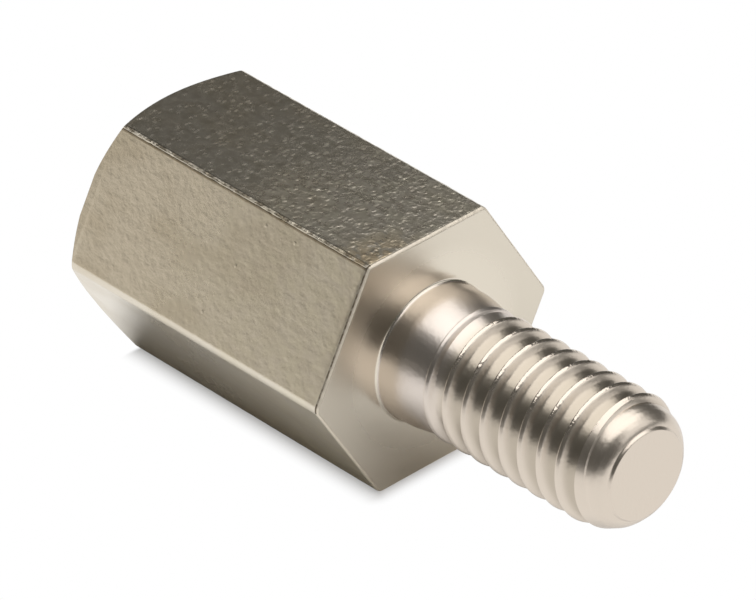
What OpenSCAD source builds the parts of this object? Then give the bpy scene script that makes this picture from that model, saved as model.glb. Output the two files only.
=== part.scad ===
// Male-female hexagonal standoff: a hexagonal spacer turned from bar, with a
// threaded stud at one end and a blind tapped hole at the other.
// Its axis is X and the stud points to +X. The origin is the centre of the
// shoulder, the face that the stud stands on. It lies on a flat of the hexagon.

/* [Hexagonal body] */
// Across the flats of the hexagon
across_flats = 7; // [6.5:0.1:8]
// Across its corners, which the drawn bar has slightly blunted
across_corners = 7.95; // [7.7:0.05:8.05]
// From the shoulder to the end face with the tapped hole
body_l = 10; // [10:1:40]
// Flat circle left on that end face inside its chamfer
end_face_d = 6.7; // [5.6:0.1:6.8]
// Angle of that chamfer to the end face
end_chamfer_deg = 35; // [15:5:45]

/* [Threaded stud] */
// From the shoulder to the tip
stud_l = 8; // [6:0.5:16]
// Nominal thread diameter
thread_d = 4; // [3.9:0.1:4.1]
// Thread pitch
pitch = 0.7; // [0.5:0.05:0.8]
// Across the crests, which the tolerance of the thread leaves under the nominal
crest_d = 3.84; // [3.8:0.02:3.9]
// Plain neck between the shoulder and the taper
neck_l = 0.7; // [0.5:0.05:1.2]
// Diameter of the neck
neck_d = 3.9; // [3.86:0.02:4]
// Fillet where the neck meets the shoulder
neck_fillet_r = 0.1; // [0.05:0.05:0.2]
// Diameter of the blank that the thread is rolled on
blank_d = 3.6; // [3.5:0.02:3.7]
// Taper from the neck down to that blank
taper_l = 0.8; // [0.4:0.1:1.2]
// Cone on which the first thread grooves run out into the blank
run_out_l = 0.7; // [0.4:0.05:1.4]
// Lead chamfer at the tip: its angle to the axis
lead_deg = 27; // [20:1:45]
// Diameter where it ends
lead_end_d = 3.2; // [2.8:0.1:3.6]
// Edge break between it and the tip's flat face, along the axis
edge_break_l = 0.3; // [0.1:0.05:0.5]
// Flat circle left on the tip
tip_d = 2.44; // [2:0.02:3]

/* [Tapped hole] */
// Tapping drill
tap_drill_d = 3.3; // [3.2:0.05:3.4]
// Depth to the end of the full diameter
hole_l = 7; // [5:0.5:8]
// Mouth of its 90 degree countersink
mouth_d = 4.3; // [4:0.1:4.8]
// Angle of the drill's point
drill_point_deg = 118; // [90:1:140]

/* [Hidden] */
finish = [0.80, 0.76, 0.69];
over = 0.5;
fillet_dip = 0.002;

// Basic ISO metric profile
flank_deg = 30;
profile_h = pitch * cos(flank_deg);
pitch_d = thread_d - 0.75 * profile_h;
root_d = thread_d - 17 / 12 * profile_h;

// The ridge is swept past both ends of the thread: its start is buried in the
// neck, from where it comes out of the taper, and its finish is cut off at the tip.
facets_a_turn = 36;
ridge_bury = 0.06;
ridge_phase = 0.69;
ridge_from = ceil((neck_l - pitch) / pitch) * pitch;
ridge_steps = ceil((stud_l + pitch - ridge_from) / pitch * facets_a_turn);

// Width of the ridge at radius r
function ridge_w(r) = pitch / 2 - 2 * (r - pitch_d / 2) * tan(flank_deg);

// Its section as [radius, distance along the axis from its middle]
function ridge_section() =
    let (foot_r = root_d / 2 - ridge_bury, crest_r = crest_d / 2)
    [
        [foot_r, -ridge_w(foot_r) / 2],
        [crest_r, -ridge_w(crest_r) / 2],
        [crest_r, ridge_w(crest_r) / 2],
        [foot_r, ridge_w(foot_r) / 2]
    ];

// A section point turned by angle a about Z and lifted by the right-hand helix
function on_helix(point, a) =
    [
        point[0] * cos(a),
        point[0] * sin(a),
        ridge_from + ridge_phase + pitch * (a - 90) / 360 + point[1]
    ];

// The thread's ridge, swept along Z
module thread_ridge() {
    section = ridge_section();
    corners = len(section);
    points = [
        for (step = [0 : ridge_steps], point = section)
        on_helix(point, step * 360 / facets_a_turn)
    ];
    sides = [
        for (step = [0 : ridge_steps - 1], c = [0 : corners - 1])
        let (
            a = step * corners + c,
            b = step * corners + (c + 1) % corners
        )
        each [[a, b, b + corners], [a, b + corners, a + corners]]
    ];
    first_cap = [[0, 3, 2], [0, 2, 1]];
    last = ridge_steps * corners;
    last_cap = [[last, last + 1, last + 2], [last, last + 2, last + 3]];
    polyhedron(points, concat(sides, first_cap, last_cap), convexity = 20);
}

// Outline that the stud is trimmed to along Z, with the lead chamfer and the
// edge break at the tip
module tip_envelope() {
    reach = crest_d / 2 + over;
    lead_end_h = stud_l - edge_break_l;
    rotate_extrude()
        polygon([
            [0, -over],
            [reach, -over],
            [reach, lead_end_h - (reach - lead_end_d / 2) / tan(lead_deg)],
            [lead_end_d / 2, lead_end_h],
            [tip_d / 2, stud_l],
            [0, stud_l]
        ]);
}

// Stud along Z: neck, taper, run-out, threaded core and ridge
module stud() {
    intersection() {
        union() {
            translate([0, 0, -over])
                cylinder(h = neck_l + over, d = neck_d);
            translate([0, 0, neck_l])
                cylinder(h = taper_l, d1 = neck_d, d2 = blank_d);
            translate([0, 0, neck_l + taper_l])
                cylinder(h = run_out_l, d1 = blank_d, d2 = root_d);
            cylinder(h = stud_l + over, d = root_d);
            thread_ridge();
        }
        tip_envelope();
    }
}

// Fillet in the corner between the shoulder and the neck. Its arc dips just
// under the shoulder, so that they meet in an edge and not in a sliver.
module neck_fillet() {
    outer_r = neck_d / 2 + neck_fillet_r;
    centre_h = neck_fillet_r - fillet_dip;
    rotate_extrude()
        difference() {
            translate([0, -over])
                square([outer_r, centre_h + over]);
            translate([outer_r, centre_h])
                circle(r = neck_fillet_r);
        }
}

// Turned outline of the hexagonal bar along Z, from the end face up
module bar_envelope() {
    corner_r = across_corners / 2;
    chamfer_h = (corner_r - end_face_d / 2) * tan(end_chamfer_deg);
    rotate_extrude()
        polygon([
            [0, -body_l],
            [end_face_d / 2, -body_l],
            [corner_r, chamfer_h - body_l],
            [corner_r, 0],
            [0, 0]
        ]);
}

// Blind tapped hole along Z, opening in the end face
module tapped_hole() {
    drill_r = tap_drill_d / 2;
    point_h = drill_r / tan(drill_point_deg / 2);
    mouth_h = (mouth_d - tap_drill_d) / 2;
    rotate_extrude()
        polygon([
            [0, -body_l - over],
            [mouth_d / 2 + over, -body_l - over],
            [drill_r, mouth_h - body_l],
            [drill_r, hole_l - body_l],
            [0, hole_l + point_h - body_l]
        ]);
}

// Hexagonal body along Z, corners up and down after it is laid on a flat
module hex_body() {
    intersection() {
        translate([0, 0, -body_l - over])
            rotate(30)
                cylinder(h = body_l + over, d = across_flats / cos(30), $fn = 6);
        bar_envelope();
    }
}

module standoff() {
    color(finish)
        rotate([0, 90, 0])
            difference() {
                union() {
                    hex_body();
                    neck_fillet();
                    stud();
                }
                tapped_hole();
            }
}

standoff();
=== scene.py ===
import math

import bpy
import bmesh
from mathutils import Matrix, Vector


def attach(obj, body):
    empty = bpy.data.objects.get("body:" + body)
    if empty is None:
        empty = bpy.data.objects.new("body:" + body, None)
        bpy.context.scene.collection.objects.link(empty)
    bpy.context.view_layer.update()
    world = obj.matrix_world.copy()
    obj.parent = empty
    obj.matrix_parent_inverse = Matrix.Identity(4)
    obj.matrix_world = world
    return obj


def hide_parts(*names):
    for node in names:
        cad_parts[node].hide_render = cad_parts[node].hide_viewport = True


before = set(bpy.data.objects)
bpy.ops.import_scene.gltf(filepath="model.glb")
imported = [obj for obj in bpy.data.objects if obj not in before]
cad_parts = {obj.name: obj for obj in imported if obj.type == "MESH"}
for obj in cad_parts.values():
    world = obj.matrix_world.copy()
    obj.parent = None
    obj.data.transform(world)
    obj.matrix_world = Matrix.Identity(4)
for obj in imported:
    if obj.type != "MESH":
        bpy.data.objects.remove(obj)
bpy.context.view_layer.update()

# ---------------------------------------------------------------- sizes
# The standoff is modelled in millimetres, and brought to metres when it is finished.
MM = 0.001

ACROSS_FLATS = 7.0
ACROSS_CORNERS = 7.95
BODY_LENGTH = 10.0
END_FACE_DIAMETER = 6.7
END_CHAMFER = math.radians(35)
END_OFF_CENTRE = (-0.22, 0.02)
RIM_BREAK = 0.09
HEX_HALF_ANGLE = math.radians(30)
HEX_CORNER_RADIUS = ACROSS_FLATS / 2 / math.cos(HEX_HALF_ANGLE)

# The six long edges of the bar, by their angle about the axis from +Y: how far each is
# rounded, and how far handling has nicked it in and out.
CREASES = (
    (0, 0.20, 0.004),
    (60, 0.20, 0.008),
    (120, 0.12, 0.012),
    (180, 0.28, 0.003),
    (240, 0.20, 0.003),
    (300, 0.20, 0.003),
)
NICK_SPACING = 0.14
EDGE_SEGMENTS = 4

STUD_LENGTH = 8.0
THREAD_DIAMETER = 4.0
PITCH = 0.7
NECK_LENGTH = 0.7
NECK_RADIUS = 1.95
NECK_FILLET = 0.10
# The neck goes over into its taper in a soft corner, as (distance past its end, drop in radius).
NECK_CORNER = (
    (-0.20, 0.0),
    (-0.10, 0.004),
    (0.0, 0.014),
    (0.10, 0.030),
)
TAPER_END = 1.5
TAPER_RADIUS = 1.80
RUN_OUT_END = 2.2
LEAD_CHAMFER = math.radians(25.5)

# Past the last full turn the thread is only rolled in as a low step, as (distance, radius).
TIP_STEP = (
    (6.900, 1.500),
    (7.200, 1.600),
    (7.255, 1.685),
    (7.290, 1.701),
    (7.340, 1.702),
    (7.420, 1.693),
    (7.500, 1.672),
    (7.560, 1.650),
    (7.640, 1.640),
    (7.700, 1.700),
    (8.200, 1.700),
)
# The lead chamfer goes over into a round and a low lip at the flat tip.
TIP_ROUND = (
    (7.620, 1.630),
    (7.680, 1.598),
    (7.730, 1.556),
    (7.800, 1.488),
    (7.880, 1.408),
    (7.905, 1.326),
    (7.915, 1.308),
    (7.935, 1.293),
    (7.975, 1.272),
    (7.992, 1.257),
    (8.0, 1.235),
)
# Where the threads start along the axis, and the turns wound before they are trimmed.
RIDGE_PHASE = 0.69
THREAD_TURNS = 14

# One pitch of the stud's thread as (along, radius), from the middle of one root to the
# next. Rolling has left its crest leaning towards the tip.
STUD_THREAD = (
    (-0.350, 1.587),
    (-0.295, 1.569),
    (-0.268, 1.562),
    (-0.245, 1.562),
    (-0.225, 1.573),
    (-0.205, 1.603),
    (-0.049, 1.873),
    (-0.037, 1.876),
    (-0.012, 1.868),
    (0.046, 1.844),
    (0.064, 1.826),
    (0.080, 1.798),
    (0.130, 1.712),
    (0.160, 1.676),
    (0.195, 1.650),
    (0.240, 1.628),
    (0.290, 1.608),
    (0.350, 1.587),
)

TAP_DRILL_RADIUS = 1.65
HOLE_LENGTH = 7.0
MOUTH_RADIUS = 2.15
DRILL_POINT = math.radians(118)
DRILL_POINT_RADIUS = 0.01
TAP_CLEARANCE = 0.03
TAP_LEAD_IN = 3 * PITCH
TAP_STOPS_SHORT = 2 * PITCH

TURNED_SIDES = 160
THREAD_STEPS = 120
FLANK = math.radians(30)
PROFILE_HEIGHT = PITCH * math.cos(FLANK)
ROOT_RADIUS = (THREAD_DIAMETER - 17 / 12 * PROFILE_HEIGHT) / 2
QUARTER = math.pi / 2
SMOOTH_UNDER = math.radians(32)
MERGE_WITHIN = 0.0005
# How far a tool reaches past what it cuts.
OVER = 0.5


# ---------------------------------------------------------------- modelling
def deselect_all():
    bpy.ops.object.select_all(action="DESELECT")


def take(piece):
    """Makes this the one selected and active object."""
    deselect_all()
    piece.select_set(True)
    bpy.context.view_layer.objects.active = piece


def edit(piece, mode="VERT"):
    """Opens the piece in edit mode."""
    take(piece)
    bpy.ops.object.mode_set(mode="EDIT")
    bpy.ops.mesh.select_mode(type=mode)


def done():
    """Leaves edit mode."""
    bpy.ops.object.mode_set(mode="OBJECT")


def pick(piece, chosen, kind="faces"):
    """Selects, in edit mode, the faces, edges or vertices that chosen says yes to."""
    bpy.ops.mesh.select_all(action="DESELECT")
    shape = bmesh.from_edit_mesh(piece.data)
    for part in getattr(shape, kind):
        if chosen(part):
            part.select_set(True)
    bmesh.update_edit_mesh(piece.data)


def settle(piece):
    """Merges doubles and turns every face outwards."""
    edit(piece)
    bpy.ops.mesh.select_all(action="SELECT")
    bpy.ops.mesh.remove_doubles(threshold=MERGE_WITHIN)
    bpy.ops.mesh.normals_make_consistent(inside=False)
    done()
    return piece


def turned(name, stations, sides=TURNED_SIDES):
    """A lathe job along X: a bar drawn out from station to station, each (distance, radius)."""
    (start, first_r), (end, second_r) = stations[0], stations[1]
    deselect_all()
    bpy.ops.mesh.primitive_cylinder_add(
        vertices=sides, radius=first_r, depth=end - start,
        location=((start + end) / 2, 0, 0), rotation=(0, QUARTER, 0))
    job = bpy.context.object
    job.name = name
    bpy.ops.object.transform_apply(location=True, rotation=True, scale=True)
    edit(job, "FACE")
    reach, radius = end, first_r
    pick(job, lambda face: face.normal.x > 0.9)
    for distance, next_r in stations[1:]:
        if distance > reach:
            bpy.ops.mesh.extrude_region_move(
                TRANSFORM_OT_translate={"value": (distance - reach, 0, 0)})
        swell = next_r / radius
        bpy.ops.transform.resize(value=(1, swell, swell), center_override=(distance, 0, 0))
        reach, radius = distance, next_r
    done()
    return job


def combined(piece, other, operation):
    """Piece and other joined, cut or intersected, with other used up."""
    take(piece)
    step = piece.modifiers.new(operation.lower(), "BOOLEAN")
    step.operation = operation
    step.solver = "EXACT"
    step.object = other
    bpy.ops.object.modifier_apply(modifier=step.name)
    bpy.data.objects.remove(other, do_unlink=True)
    return piece


def tap_thread():
    """One pitch of the tapped thread as (along, radius), from the middle of one crest to the next."""
    root = THREAD_DIAMETER / 2 + TAP_CLEARANCE
    flank = (root - TAP_DRILL_RADIUS) * math.tan(FLANK)
    flat = PITCH / 8
    return (
        (-PITCH / 2, TAP_DRILL_RADIUS),
        (-flat / 2 - flank, TAP_DRILL_RADIUS),
        (-flat / 2, root),
        (flat / 2, root),
        (flat / 2 + flank, TAP_DRILL_RADIUS),
        (PITCH / 2, TAP_DRILL_RADIUS))


def threaded_rod(name, start, turns, profile, phase):
    """A right-hand threaded rod along X, its profile wound by the Screw modifier.

    The profile is drawn out from the one corner of a plane that lies at the origin.
    """
    deselect_all()
    bpy.ops.mesh.primitive_plane_add(size=1, location=(0.5, 0.5, 0))
    rod = bpy.context.object
    rod.name = name
    bpy.ops.object.transform_apply(location=True, rotation=True, scale=True)
    edit(rod)
    pick(rod, lambda vertex: vertex.index > 0, "verts")
    bpy.ops.mesh.delete(type="VERT")
    pick(rod, lambda vertex: True, "verts")
    first = start + phase
    here = Vector((first + profile[0][0], profile[0][1], 0))
    bpy.ops.transform.translate(value=here)
    for along, radius in profile[1:]:
        there = Vector((first + along, radius, 0))
        bpy.ops.mesh.extrude_region_move(TRANSFORM_OT_translate={"value": there - here})
        here = there
    done()
    wind = rod.modifiers.new("wind", "SCREW")
    wind.axis = "X"
    wind.angle = math.tau
    wind.screw_offset = PITCH
    wind.iterations = turns
    wind.steps = THREAD_STEPS
    wind.render_steps = THREAD_STEPS
    bpy.ops.object.modifier_apply(modifier=wind.name)
    return settle(rod)


def trimmed(rod, start, end):
    """The rod cut square at both ends, and closed."""
    for place, side in ((start, -1), (end, 1)):
        edit(rod)
        bpy.ops.mesh.select_all(action="SELECT")
        bpy.ops.mesh.bisect(
            plane_co=(place, 0, 0), plane_no=(side, 0, 0), use_fill=True, clear_outer=True)
        done()
    return settle(rod)


def crease_place(angle):
    """Where a long edge of the bar would be if it were sharp, in Y and Z."""
    turn = math.radians(angle)
    return Vector((HEX_CORNER_RADIUS * math.cos(turn), HEX_CORNER_RADIUS * math.sin(turn)))


def hexagonal_bar():
    """The drawn bar, its long edges rounded and nicked and the rim of its shoulder broken."""
    deselect_all()
    bpy.ops.mesh.primitive_cylinder_add(
        vertices=6, radius=HEX_CORNER_RADIUS, depth=BODY_LENGTH,
        location=(-BODY_LENGTH / 2, 0, 0), rotation=(0, QUARTER, 0))
    bar = bpy.context.object
    bar.name = "hex_standoff"
    bpy.ops.object.transform_apply(location=True, rotation=True, scale=True)
    edit(bar, "EDGE")
    for angle, rounding, nick in CREASES:
        corner = crease_place(angle)
        pick(
            bar, lambda edge: all((vertex.co.yz - corner).length < 0.05 for vertex in edge.verts),
            "edges")
        bpy.ops.mesh.bevel(
            offset=rounding * math.tan(HEX_HALF_ANGLE), segments=EDGE_SEGMENTS, affect="EDGES")
    pick(bar, lambda edge: all(vertex.co.x > -0.01 for vertex in edge.verts), "edges")
    bpy.ops.mesh.bevel(offset=RIM_BREAK, segments=EDGE_SEGMENTS, affect="EDGES")
    pick(bar, lambda edge: abs(edge.verts[0].co.x - edge.verts[1].co.x) > 1, "edges")
    bpy.ops.mesh.subdivide(number_cuts=round(BODY_LENGTH / NICK_SPACING))
    bpy.ops.mesh.select_mode(type="VERT")
    for seed, (angle, rounding, nick) in enumerate(CREASES):
        corner = crease_place(angle)
        pick(bar, lambda vertex: (vertex.co.yz - corner).length < rounding * 0.45, "verts")
        bpy.ops.transform.vertex_random(offset=nick, uniform=0, normal=0, seed=seed)
    done()
    return bar


def bar_blank():
    """The turned outline of the bar, with the chamfer of its far end."""
    corner_r = ACROSS_CORNERS / 2 + 2 * OVER
    rise = (corner_r - END_FACE_DIAMETER / 2) * math.tan(END_CHAMFER)
    blank = turned("bar_blank", [
        (-BODY_LENGTH, END_FACE_DIAMETER / 2),
        (rise - BODY_LENGTH, corner_r),
        (OVER, corner_r)])
    blank.location = (0, *END_OFF_CENTRE)
    bpy.ops.object.transform_apply(location=True, rotation=True, scale=True)
    return blank


def neck():
    """The plain neck, from its fillet in the shoulder to its taper and the run-out."""
    arc = [
        (NECK_FILLET * (1 - math.cos(a)), NECK_RADIUS + NECK_FILLET * (1 - math.sin(a)))
        for a in map(math.radians, range(0, 91, 15))
    ]
    corner = [(NECK_LENGTH + past, NECK_RADIUS - drop) for past, drop in NECK_CORNER]
    return turned("neck", [
        (-OVER, arc[0][1]),
        *arc,
        *corner,
        (TAPER_END, TAPER_RADIUS),
        (RUN_OUT_END, ROOT_RADIUS)])


def stud():
    """The rolled thread with its low last step, turned to the lead chamfer and the tip."""
    rod = threaded_rod("stud", 0, THREAD_TURNS, STUD_THREAD, RIDGE_PHASE)
    rod = trimmed(rod, TAPER_END, STUD_LENGTH + OVER)
    rod = combined(rod, turned("tip_step", TIP_STEP), "UNION")
    blank_r = THREAD_DIAMETER / 2 + OVER
    lead_end, lead_r = TIP_ROUND[0]
    blank = turned("stud_blank", [
        (0, blank_r),
        (lead_end - (blank_r - lead_r) / math.tan(LEAD_CHAMFER), blank_r),
        *TIP_ROUND])
    return combined(rod, blank, "INTERSECT")


def tap_and_drill():
    """What the tapped hole takes away: its thread, drill, drill point and countersink."""
    tap = threaded_rod("tap", -BODY_LENGTH - TAP_LEAD_IN, THREAD_TURNS, tap_thread(), RIDGE_PHASE)
    tap = trimmed(tap, -BODY_LENGTH - OVER, -BODY_LENGTH + HOLE_LENGTH - TAP_STOPS_SHORT)
    point = TAP_DRILL_RADIUS / math.tan(DRILL_POINT / 2)
    drill = turned("drill", [
        (-BODY_LENGTH - OVER, MOUTH_RADIUS + OVER),
        (-BODY_LENGTH + MOUTH_RADIUS - TAP_DRILL_RADIUS, TAP_DRILL_RADIUS),
        (-BODY_LENGTH + HOLE_LENGTH, TAP_DRILL_RADIUS),
        (-BODY_LENGTH + HOLE_LENGTH + point, DRILL_POINT_RADIUS)])
    return combined(tap, drill, "UNION")


def standoff():
    """The whole piece, in metres."""
    piece = combined(hexagonal_bar(), bar_blank(), "INTERSECT")
    piece = combined(piece, neck(), "UNION")
    piece = combined(piece, stud(), "UNION")
    piece = combined(piece, tap_and_drill(), "DIFFERENCE")
    settle(piece)
    take(piece)
    piece.scale = (MM, MM, MM)
    bpy.ops.object.transform_apply(location=True, rotation=True, scale=True)
    bpy.ops.object.shade_smooth_by_angle(angle=SMOOTH_UNDER)
    level = piece.modifiers.new("level", "WEIGHTED_NORMAL")
    level.keep_sharp = True
    bpy.ops.object.modifier_apply(modifier=level.name)
    return piece


piece = standoff()
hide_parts("standoff")
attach(piece, "root")

# ---------------------------------------------------------------- finish
FLAT_NICKEL = (0.76, 0.695, 0.585, 1)
DULL_NICKEL = (0.66, 0.58, 0.45, 1)
YELLOWED_NICKEL = (0.78, 0.72, 0.565, 1)
STUD_NICKEL = (0.735, 0.65, 0.555, 1)
NECK_NICKEL = (0.735, 0.66, 0.595, 1)
# A darker nickel laid into the thread's grooves: painted shade.
GROOVE_SHADE_NICKEL = (0.52, 0.455, 0.37, 1)
# A paler nickel laid on the shoulder's rim break: a painted highlight.
RIM_HIGHLIGHT_NICKEL = (0.92, 0.84, 0.72, 1)
BROWNED_NICKEL = (0.98, 0.79, 0.53, 1)
# Dark colour for lines along the edges: partly dirt, partly painted shade standing in for the dark
# reflection of a rounded edge.
DIRT_AND_SHADE = (0.16, 0.12, 0.07, 1)

# Depths of the relief, in millimetres.
PEEL_DEPTH = 0.0075
TURNED_PEEL_DEPTH = 0.0015
GRAIN_DEPTH = 0.0008
STREAK_DEPTH = 0.0006
PIT_DEPTH = 0.0050
FLECK_DEPTH = 0.0045
FROST_DEPTH = 0.0060
CLOUD_DEPTH = 0.0090
RING_DEPTH = 0.0008
TURN_DEPTH = 0.0012
BEAD_DEPTH = 0.0040
CREST_BEAD_DEPTH = 0.0110
NICK_DEPTH = 0.050
KNOCK_DEPTH = 0.060

# The long edge between the upper flat and the side flat, beside which a dark line of dirt and painted shade
# is laid, by its angle from +Y.
DARK_LINED_CREASE = 120


class Value:
    """A socket that Python's operators work on, each adding a Math node."""

    def __init__(self, finish, socket):
        self.finish = finish
        self.socket = socket

    def math(self, operation, *values):
        """A Math node on these values."""
        return self.finish.node("ShaderNodeMath", {"operation": operation}, dict(enumerate(values)))

    def __add__(self, other):
        return self.math("ADD", self, other)

    def __radd__(self, other):
        return self.math("ADD", other, self)

    def __sub__(self, other):
        return self.math("SUBTRACT", self, other)

    def __rsub__(self, other):
        return self.math("SUBTRACT", other, self)

    def __mul__(self, other):
        return self.math("MULTIPLY", self, other)

    def __rmul__(self, other):
        return self.math("MULTIPLY", other, self)

    def __truediv__(self, other):
        return self.math("DIVIDE", self, other)

    def __pow__(self, other):
        return self.math("POWER", self, other)

    def largest(self, other):
        """The larger of this and the other."""
        return self.math("MAXIMUM", self, other)

    def rise(self, low, high):
        """0 below low, 1 above high, and smooth between them."""
        return self.finish.node(
            "ShaderNodeMapRange", {"interpolation_type": "SMOOTHSTEP"},
            {"Value": self, "From Min": low, "From Max": high})

    def fall(self, low, high):
        """1 below low, 0 above high, and smooth between them."""
        return 1 - self.rise(low, high)


class Finish:
    """One material, built up on its Principled shader. Its patterns are in millimetres."""

    def __init__(self, name):
        self.material = bpy.data.materials.new(name)
        self.material.use_nodes = True
        self.tree = self.material.node_tree
        self.shader = self.tree.nodes["Principled BSDF"]
        self.end = self.tree.nodes["Material Output"]

    def join(self, value, socket):
        """Links a value to a socket, or sets a plain number or colour on it."""
        if isinstance(value, Value):
            self.tree.links.new(value.socket, socket)
        else:
            socket.default_value = value

    def node(self, kind, settings, values, output=0):
        """A new node with these settings and inputs, given as one of its outputs."""
        made = self.tree.nodes.new(kind)
        for setting, choice in settings.items():
            setattr(made, setting, choice)
        for socket, value in values.items():
            self.join(value, made.inputs[socket])
        return Value(self, made.outputs[output])

    def place(self):
        """The place on the object, in millimetres."""
        coordinates = self.node("ShaderNodeTexCoord", {}, {}, "Object")
        return self.node(
            "ShaderNodeVectorMath", {"operation": "SCALE"}, {0: coordinates, "Scale": 1 / MM})

    def parts(self, vector):
        """The X, Y and Z of a vector."""
        return [self.node("ShaderNodeSeparateXYZ", {}, {0: vector}, axis) for axis in "XYZ"]

    def noise(self, place, size, detail=2.0, shift=0.0):
        """Soft noise from 0 to 1, with size the spacing of its spots along X, Y and Z."""
        scale = tuple(1 / spacing for spacing in size)
        spot = self.node(
            "ShaderNodeMapping", {},
            {"Vector": place, "Location": (shift, shift, shift), "Scale": scale})
        return self.node("ShaderNodeTexNoise", {}, {"Vector": spot, "Scale": 1.0, "Detail": detail})

    def lines(self, along, spacing):
        """Fine lines of uneven depth across a measure, from 0 to 1."""
        return self.node(
            "ShaderNodeTexNoise", {"noise_dimensions": "1D"},
            {"W": along / spacing, "Scale": 1.0, "Detail": 2.0})

    def specks(self, place, spacing, size, share):
        """Specks at a share of the spots of a loose grid, from 0 to 1, size being a part of its spacing."""
        scale = tuple(1 / gap for gap in spacing)
        spot = self.node("ShaderNodeMapping", {}, {"Vector": place, "Scale": scale})
        cells = {"Vector": spot, "Scale": 1.0}
        near = self.node("ShaderNodeTexVoronoi", {}, cells, "Distance")
        colour = self.node("ShaderNodeTexVoronoi", {}, cells, "Color")
        chance = self.node("ShaderNodeSeparateXYZ", {}, {0: colour}, "X")
        return near.fall(0, size) * chance.fall(share, share + 0.02)

    def blend(self, factor, first, second):
        """The first colour going over into the second as factor goes from 0 to 1."""
        return self.node(
            "ShaderNodeMix", {"data_type": "RGBA"}, {0: factor, 6: first, 7: second}, 2)


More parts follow.
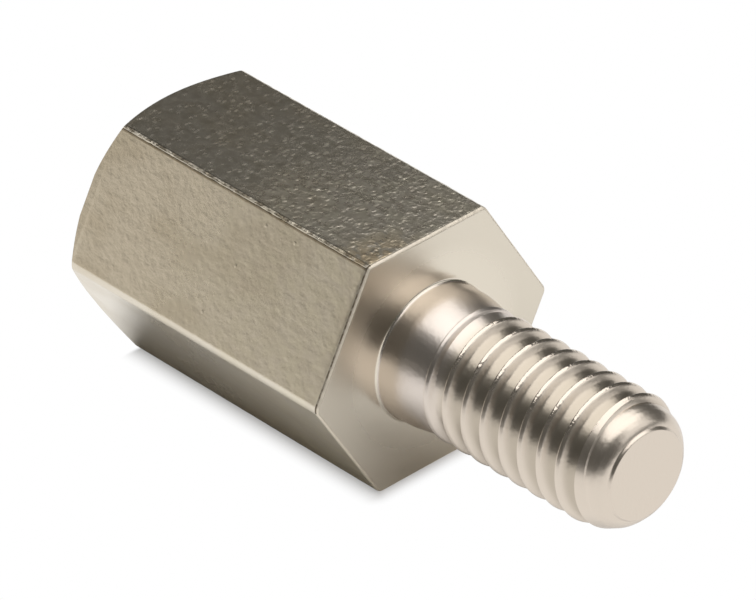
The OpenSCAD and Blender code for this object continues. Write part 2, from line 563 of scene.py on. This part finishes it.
def nickel_plate():
    """Semi-bright nickel: drawn flats with an orange peel, turned ends, a bright threaded stud."""
    nickel = Finish("nickel")
    place = nickel.place()
    along, across, upward = nickel.parts(place)
    radius = (across * across + upward * upward) ** 0.5

    # Where each part of the surface begins and ends, in millimetres.
    on_stud = along.rise(0.02, 0.06)
    on_neck = on_stud * along.fall(1.5, 2.2)
    on_crest = along.rise(1.8, 2.3) * radius.rise(1.83, 1.86) * (upward / radius).rise(0.60, 0.80)
    painted_groove_shade = along.rise(1.8, 2.3) * along.fall(7.2, 7.3) * radius.fall(1.60, 1.82)
    on_flats = radius.rise(3.15, 3.30) * along.fall(-0.06, -0.01)
    on_turned_ends = (1 - on_flats) * (1 - on_stud)
    on_shoulder = on_turned_ends * along.rise(-0.20, -0.10)
    on_top = upward.rise(3.40, 3.45) * along.fall(-0.15, -0.08)
    on_side = (upward * 0.5 - across * 0.866).rise(3.38, 3.42)
    on_rim = radius.rise(3.2, 3.4) * along.rise(-0.12, -0.09) * along.fall(-0.012, -0.004)
    at_crease = upward.rise(3.30, 3.34) * along.fall(-0.10, -0.04)
    from_crease = across - crease_place(DARK_LINED_CREASE).x
    outwards = radius.rise(2.0, 3.2)
    towards_shoulder = along.rise(-9.0, 0.0)

    mottle = nickel.noise(place, (2.2, 1.4, 1.4), 3.0)
    peel = nickel.noise(place, (0.24, 0.21, 0.21), 2.0, 3.1)
    grain = nickel.noise(place, (0.13, 0.08, 0.08), 2.0, 7.7)
    streaks = nickel.noise(place, (1.1, 0.06, 0.06), 2.0, 5.3)
    pits = nickel.specks(place, (0.55, 0.55, 0.55), 0.13, 0.30)
    flecks = nickel.specks(place, (0.14, 0.21, 0.14), 0.55, 0.60)
    frost = nickel.noise(place, (0.16, 0.12, 0.12), 2.0, 9.2).rise(0.42, 0.84)
    cloud = nickel.noise(place, (0.32, 0.22, 0.22), 2.0, 6.1)
    blotch = nickel.noise(place, (0.50, 0.34, 0.34), 3.0, 2.2).rise(0.36, 0.64)
    beads = nickel.noise(place, (0.11, 0.13, 0.13), 2.0, 4.4)
    nicks = nickel.noise(place, (0.24, 0.12, 0.12), 3.0, 1.9)
    knocks = nickel.noise(place, (0.90, 0.32, 0.32), 3.0, 4.1)
    dashes = nickel.noise(place, (0.26, 0.20, 0.20), 2.0, 8.3).rise(0.43, 0.55)
    rings = nickel.lines(radius, 0.05)
    lift = across.math("ARCTAN2", across, upward) * (PITCH / math.tau)
    turns = nickel.lines(along - lift, 0.03)

    burred = at_crease * from_crease.rise(-0.02, 0.01) * from_crease.fall(0.07, 0.11)
    # A dark line on the side flat's side of the upper crease: dirt and painted shade, for the dark
    # reflection of the rounded edge.
    crease_dirt_and_shade = at_crease * from_crease.rise(-0.065, -0.045) * from_crease.fall(-0.03, -0.01)
    # A darker line along the side flat next to the shoulder.
    dark_line_by_shoulder = on_side * along.rise(-0.125, -0.105) * along.fall(-0.075, -0.050)
    browned = on_top * along.rise(-1.6, -0.3) * across.fall(-1.6, 0.2) * blotch.rise(0.0, 0.7)
    dull = on_flats * mottle.rise(0.42, 0.68) * 0.5 + on_top * cloud.fall(0.30, 0.60) * 0.35
    # The gaps between the bright dashes of the burred crease are darkened: painted shade.
    dirt_and_painted_shade = (crease_dirt_and_shade * 0.85).largest(burred * (1 - dashes) * 0.70)
    dirt_and_painted_shade = dirt_and_painted_shade.largest(dark_line_by_shoulder * (0.55 + dashes * 0.35))

    flats_relief = (
        peel * PEEL_DEPTH + grain * GRAIN_DEPTH + streaks * STREAK_DEPTH + pits * PIT_DEPTH)
    top_relief = (
        (flecks * FLECK_DEPTH + frost * FROST_DEPTH) * along.rise(-12.0, -1.0) + cloud * CLOUD_DEPTH)
    height = (
        on_flats * flats_relief
        + on_top * top_relief
        + on_turned_ends * (rings * RING_DEPTH + peel * TURNED_PEEL_DEPTH)
        + on_stud * (turns * TURN_DEPTH + beads * (BEAD_DEPTH + on_crest * CREST_BEAD_DEPTH))
        + burred * nicks * NICK_DEPTH
        + on_rim * knocks * KNOCK_DEPTH)
    bump = nickel.node("ShaderNodeBump", {}, {"Strength": 1.0, "Distance": MM, "Height": height})

    colour = nickel.blend(dull, FLAT_NICKEL, DULL_NICKEL)
    colour = nickel.blend(on_flats * blotch * towards_shoulder * 0.5, colour, YELLOWED_NICKEL)
    colour = nickel.blend(on_stud, colour, STUD_NICKEL)
    colour = nickel.blend(on_neck, colour, NECK_NICKEL)
    # Painted shade in the thread's grooves.
    colour = nickel.blend(painted_groove_shade, colour, GROOVE_SHADE_NICKEL)
    # Painted highlight on the rim break of the shoulder.
    colour = nickel.blend(on_rim * 0.8, colour, RIM_HIGHLIGHT_NICKEL)
    colour = nickel.blend(browned * 0.85, colour, BROWNED_NICKEL)
    # Dirt and painted shade along the crease, and the darker line by the shoulder.
    colour = nickel.blend(dirt_and_painted_shade, colour, DIRT_AND_SHADE)
    roughness = (
        0.27
        + on_flats * (towards_shoulder * 0.08 + mottle * 0.10 - 0.09)
        + on_top * (flecks * 0.10 + cloud * 0.12 - 0.09)
        + burred * 0.15
        - on_crest * 0.12
        + on_rim * 0.28
        - on_turned_ends * 0.10
        + on_shoulder * outwards * outwards * 0.16
        + grain * 0.04)
    nickel.join(colour, nickel.shader.inputs["Base Color"])
    nickel.join(roughness, nickel.shader.inputs["Roughness"])
    nickel.join(bump, nickel.shader.inputs["Normal"])
    nickel.join(1.0, nickel.shader.inputs["Metallic"])
    return nickel.material


piece.data.materials.clear()
piece.data.materials.append(nickel_plate())

# ---------------------------------------------------------------- stage
AZIMUTH = math.radians(49.215)
ELEVATION = math.radians(33.684)
ROLL = math.radians(-2.57)
DISTANCE = 31.01 * ACROSS_FLATS * MM
AIM_RIGHT = -0.2020 * ACROSS_FLATS * MM
AIM_UP = 0.1866 * ACROSS_FLATS * MM
FOCAL_PIXELS = 8400.5
IMAGE_WIDTH = 756
SENSOR = 36

PAPER = (0.93, 0.93, 0.93, 1)
WHITE = (1, 1, 1, 1)
ROOM = (0.098, 0.097, 0.092, 1)
FLOOR_SIZE = 1.2
# How quickly the paper goes white behind the bar and in front of its shoulder, where the shadow under its
# sides starts, and how deep the painted shadow under the stud is, as the share of the white taken away
# there.
WHITER_BEHIND = 20
WHITER_IN_FRONT = 2
SHADOW_HALF_WIDTH = ACROSS_FLATS * 0.29
STUD_SHADOW_DEPTH = 0.42


def white_paper():
    """Paper that goes pure white to the eye and in the metal, away from the shadow under the bar and from a
    painted shadow under the stud that only the metal sees.
    """
    paper = Finish("paper")
    along, across = paper.parts(paper.place())[:2]
    beyond = (0.5 - BODY_LENGTH - along).largest(0)
    before = along.largest(0)
    off_axis = across.math("ABSOLUTE", across)
    beside = (off_axis - SHADOW_HALF_WIDTH).largest(0)
    away = (
        beyond * beyond * WHITER_BEHIND + before * before * WHITER_IN_FRONT
        + beside * beside) ** 0.5
    # A painted shadow under the stud: the white that the metal sees there is dimmed.
    painted_stud_shadow = off_axis.fall(0.4, 2.6) * along.rise(0.5, 2.0) * along.fall(6.5, 9.0)
    to_camera = paper.node("ShaderNodeLightPath", {}, {}, "Is Camera Ray")
    mirrored = paper.node("ShaderNodeLightPath", {}, {}, "Is Glossy Ray")
    refracted = paper.node("ShaderNodeLightPath", {}, {}, "Is Transmission Ray")
    seen = (to_camera * away.rise(-0.5, 0.7)).largest(
        mirrored.largest(refracted) * away.rise(0.3, 8.0) * (1 - painted_stud_shadow * STUD_SHADOW_DEPTH))
    paper.join(PAPER, paper.shader.inputs["Base Color"])
    paper.join(0.9, paper.shader.inputs["Roughness"])
    white = paper.node("ShaderNodeEmission", {}, {"Color": WHITE, "Strength": 1.0})
    plain = Value(paper, paper.shader.outputs[0])
    surface = paper.node("ShaderNodeMixShader", {}, {0: seen, 1: plain, 2: white})
    paper.join(surface, paper.end.inputs["Surface"])
    return paper.material


bpy.ops.mesh.primitive_plane_add(size=FLOOR_SIZE, location=(0, 0, -ACROSS_FLATS / 2 * MM))
floor = bpy.context.object
floor.name = "floor"
floor.data.materials.append(white_paper())

world = bpy.context.scene.world or bpy.data.worlds.new("studio")
bpy.context.scene.world = world
world.use_nodes = True
room = world.node_tree.nodes["Background"]
room.inputs["Color"].default_value = ROOM
room.inputs["Strength"].default_value = 1


def softbox(
        name, azimuth, elevation, distance, wide, high, radiance,
        shape="RECTANGLE", tint=(1, 1, 1)):
    """A soft light that faces the standoff. Azimuth 0 is beyond it for the camera, and 90 to its right."""
    ahead = Vector((-math.sin(AZIMUTH), math.cos(AZIMUTH), 0))
    aside = Vector((math.cos(AZIMUTH), math.sin(AZIMUTH), 0))
    turn, rise = math.radians(azimuth), math.radians(elevation)
    level = math.cos(turn) * ahead + math.sin(turn) * aside
    place = math.cos(rise) * level + Vector((0, 0, math.sin(rise)))
    lamp = bpy.data.lights.new(name, "AREA")
    lamp.shape = shape
    lamp.size = wide
    lamp.size_y = high
    lamp.color = tint
    area = wide * high * (math.pi / 4 if shape == "ELLIPSE" else 1)
    lamp.energy = radiance * math.pi * area
    light = bpy.data.objects.new(name, lamp)
    bpy.context.collection.objects.link(light)
    light.location = distance * place
    light.rotation_euler = place.to_track_quat("Z", "Y").to_euler()


softbox(
    "overhead", azimuth=70, elevation=81, distance=0.4, wide=0.625, high=0.625,
    radiance=1.5, shape="ELLIPSE")
softbox("right", azimuth=108, elevation=30, distance=0.5, wide=0.50, high=0.30, radiance=0.94)
softbox(
    "left", azimuth=-88, elevation=7, distance=0.5, wide=0.34, high=0.13,
    radiance=0.60, tint=(1.0, 0.93, 0.80))

# ---------------------------------------------------------------- camera
right = Vector((math.cos(AZIMUTH), math.sin(AZIMUTH), 0))
up = Vector((
    -math.sin(AZIMUTH) * math.sin(ELEVATION),
    math.cos(AZIMUTH) * math.sin(ELEVATION),
    math.cos(ELEVATION)))
back = right.cross(up)
rolled_right = math.cos(ROLL) * right + math.sin(ROLL) * up
rolled_up = math.cos(ROLL) * up - math.sin(ROLL) * right
lens = bpy.data.cameras.new("camera")
lens.sensor_width = SENSOR
lens.lens = FOCAL_PIXELS * SENSOR / IMAGE_WIDTH
lens.clip_start = 0.01
lens.clip_end = 10
camera = bpy.data.objects.new("camera", lens)
bpy.context.collection.objects.link(camera)
camera.matrix_world = Matrix((rolled_right, rolled_up, back)).transposed().to_4x4()
camera.location = DISTANCE * back + AIM_RIGHT * rolled_right + AIM_UP * rolled_up
bpy.context.scene.camera = camera
bpy.context.scene.view_settings.view_transform = "Standard"
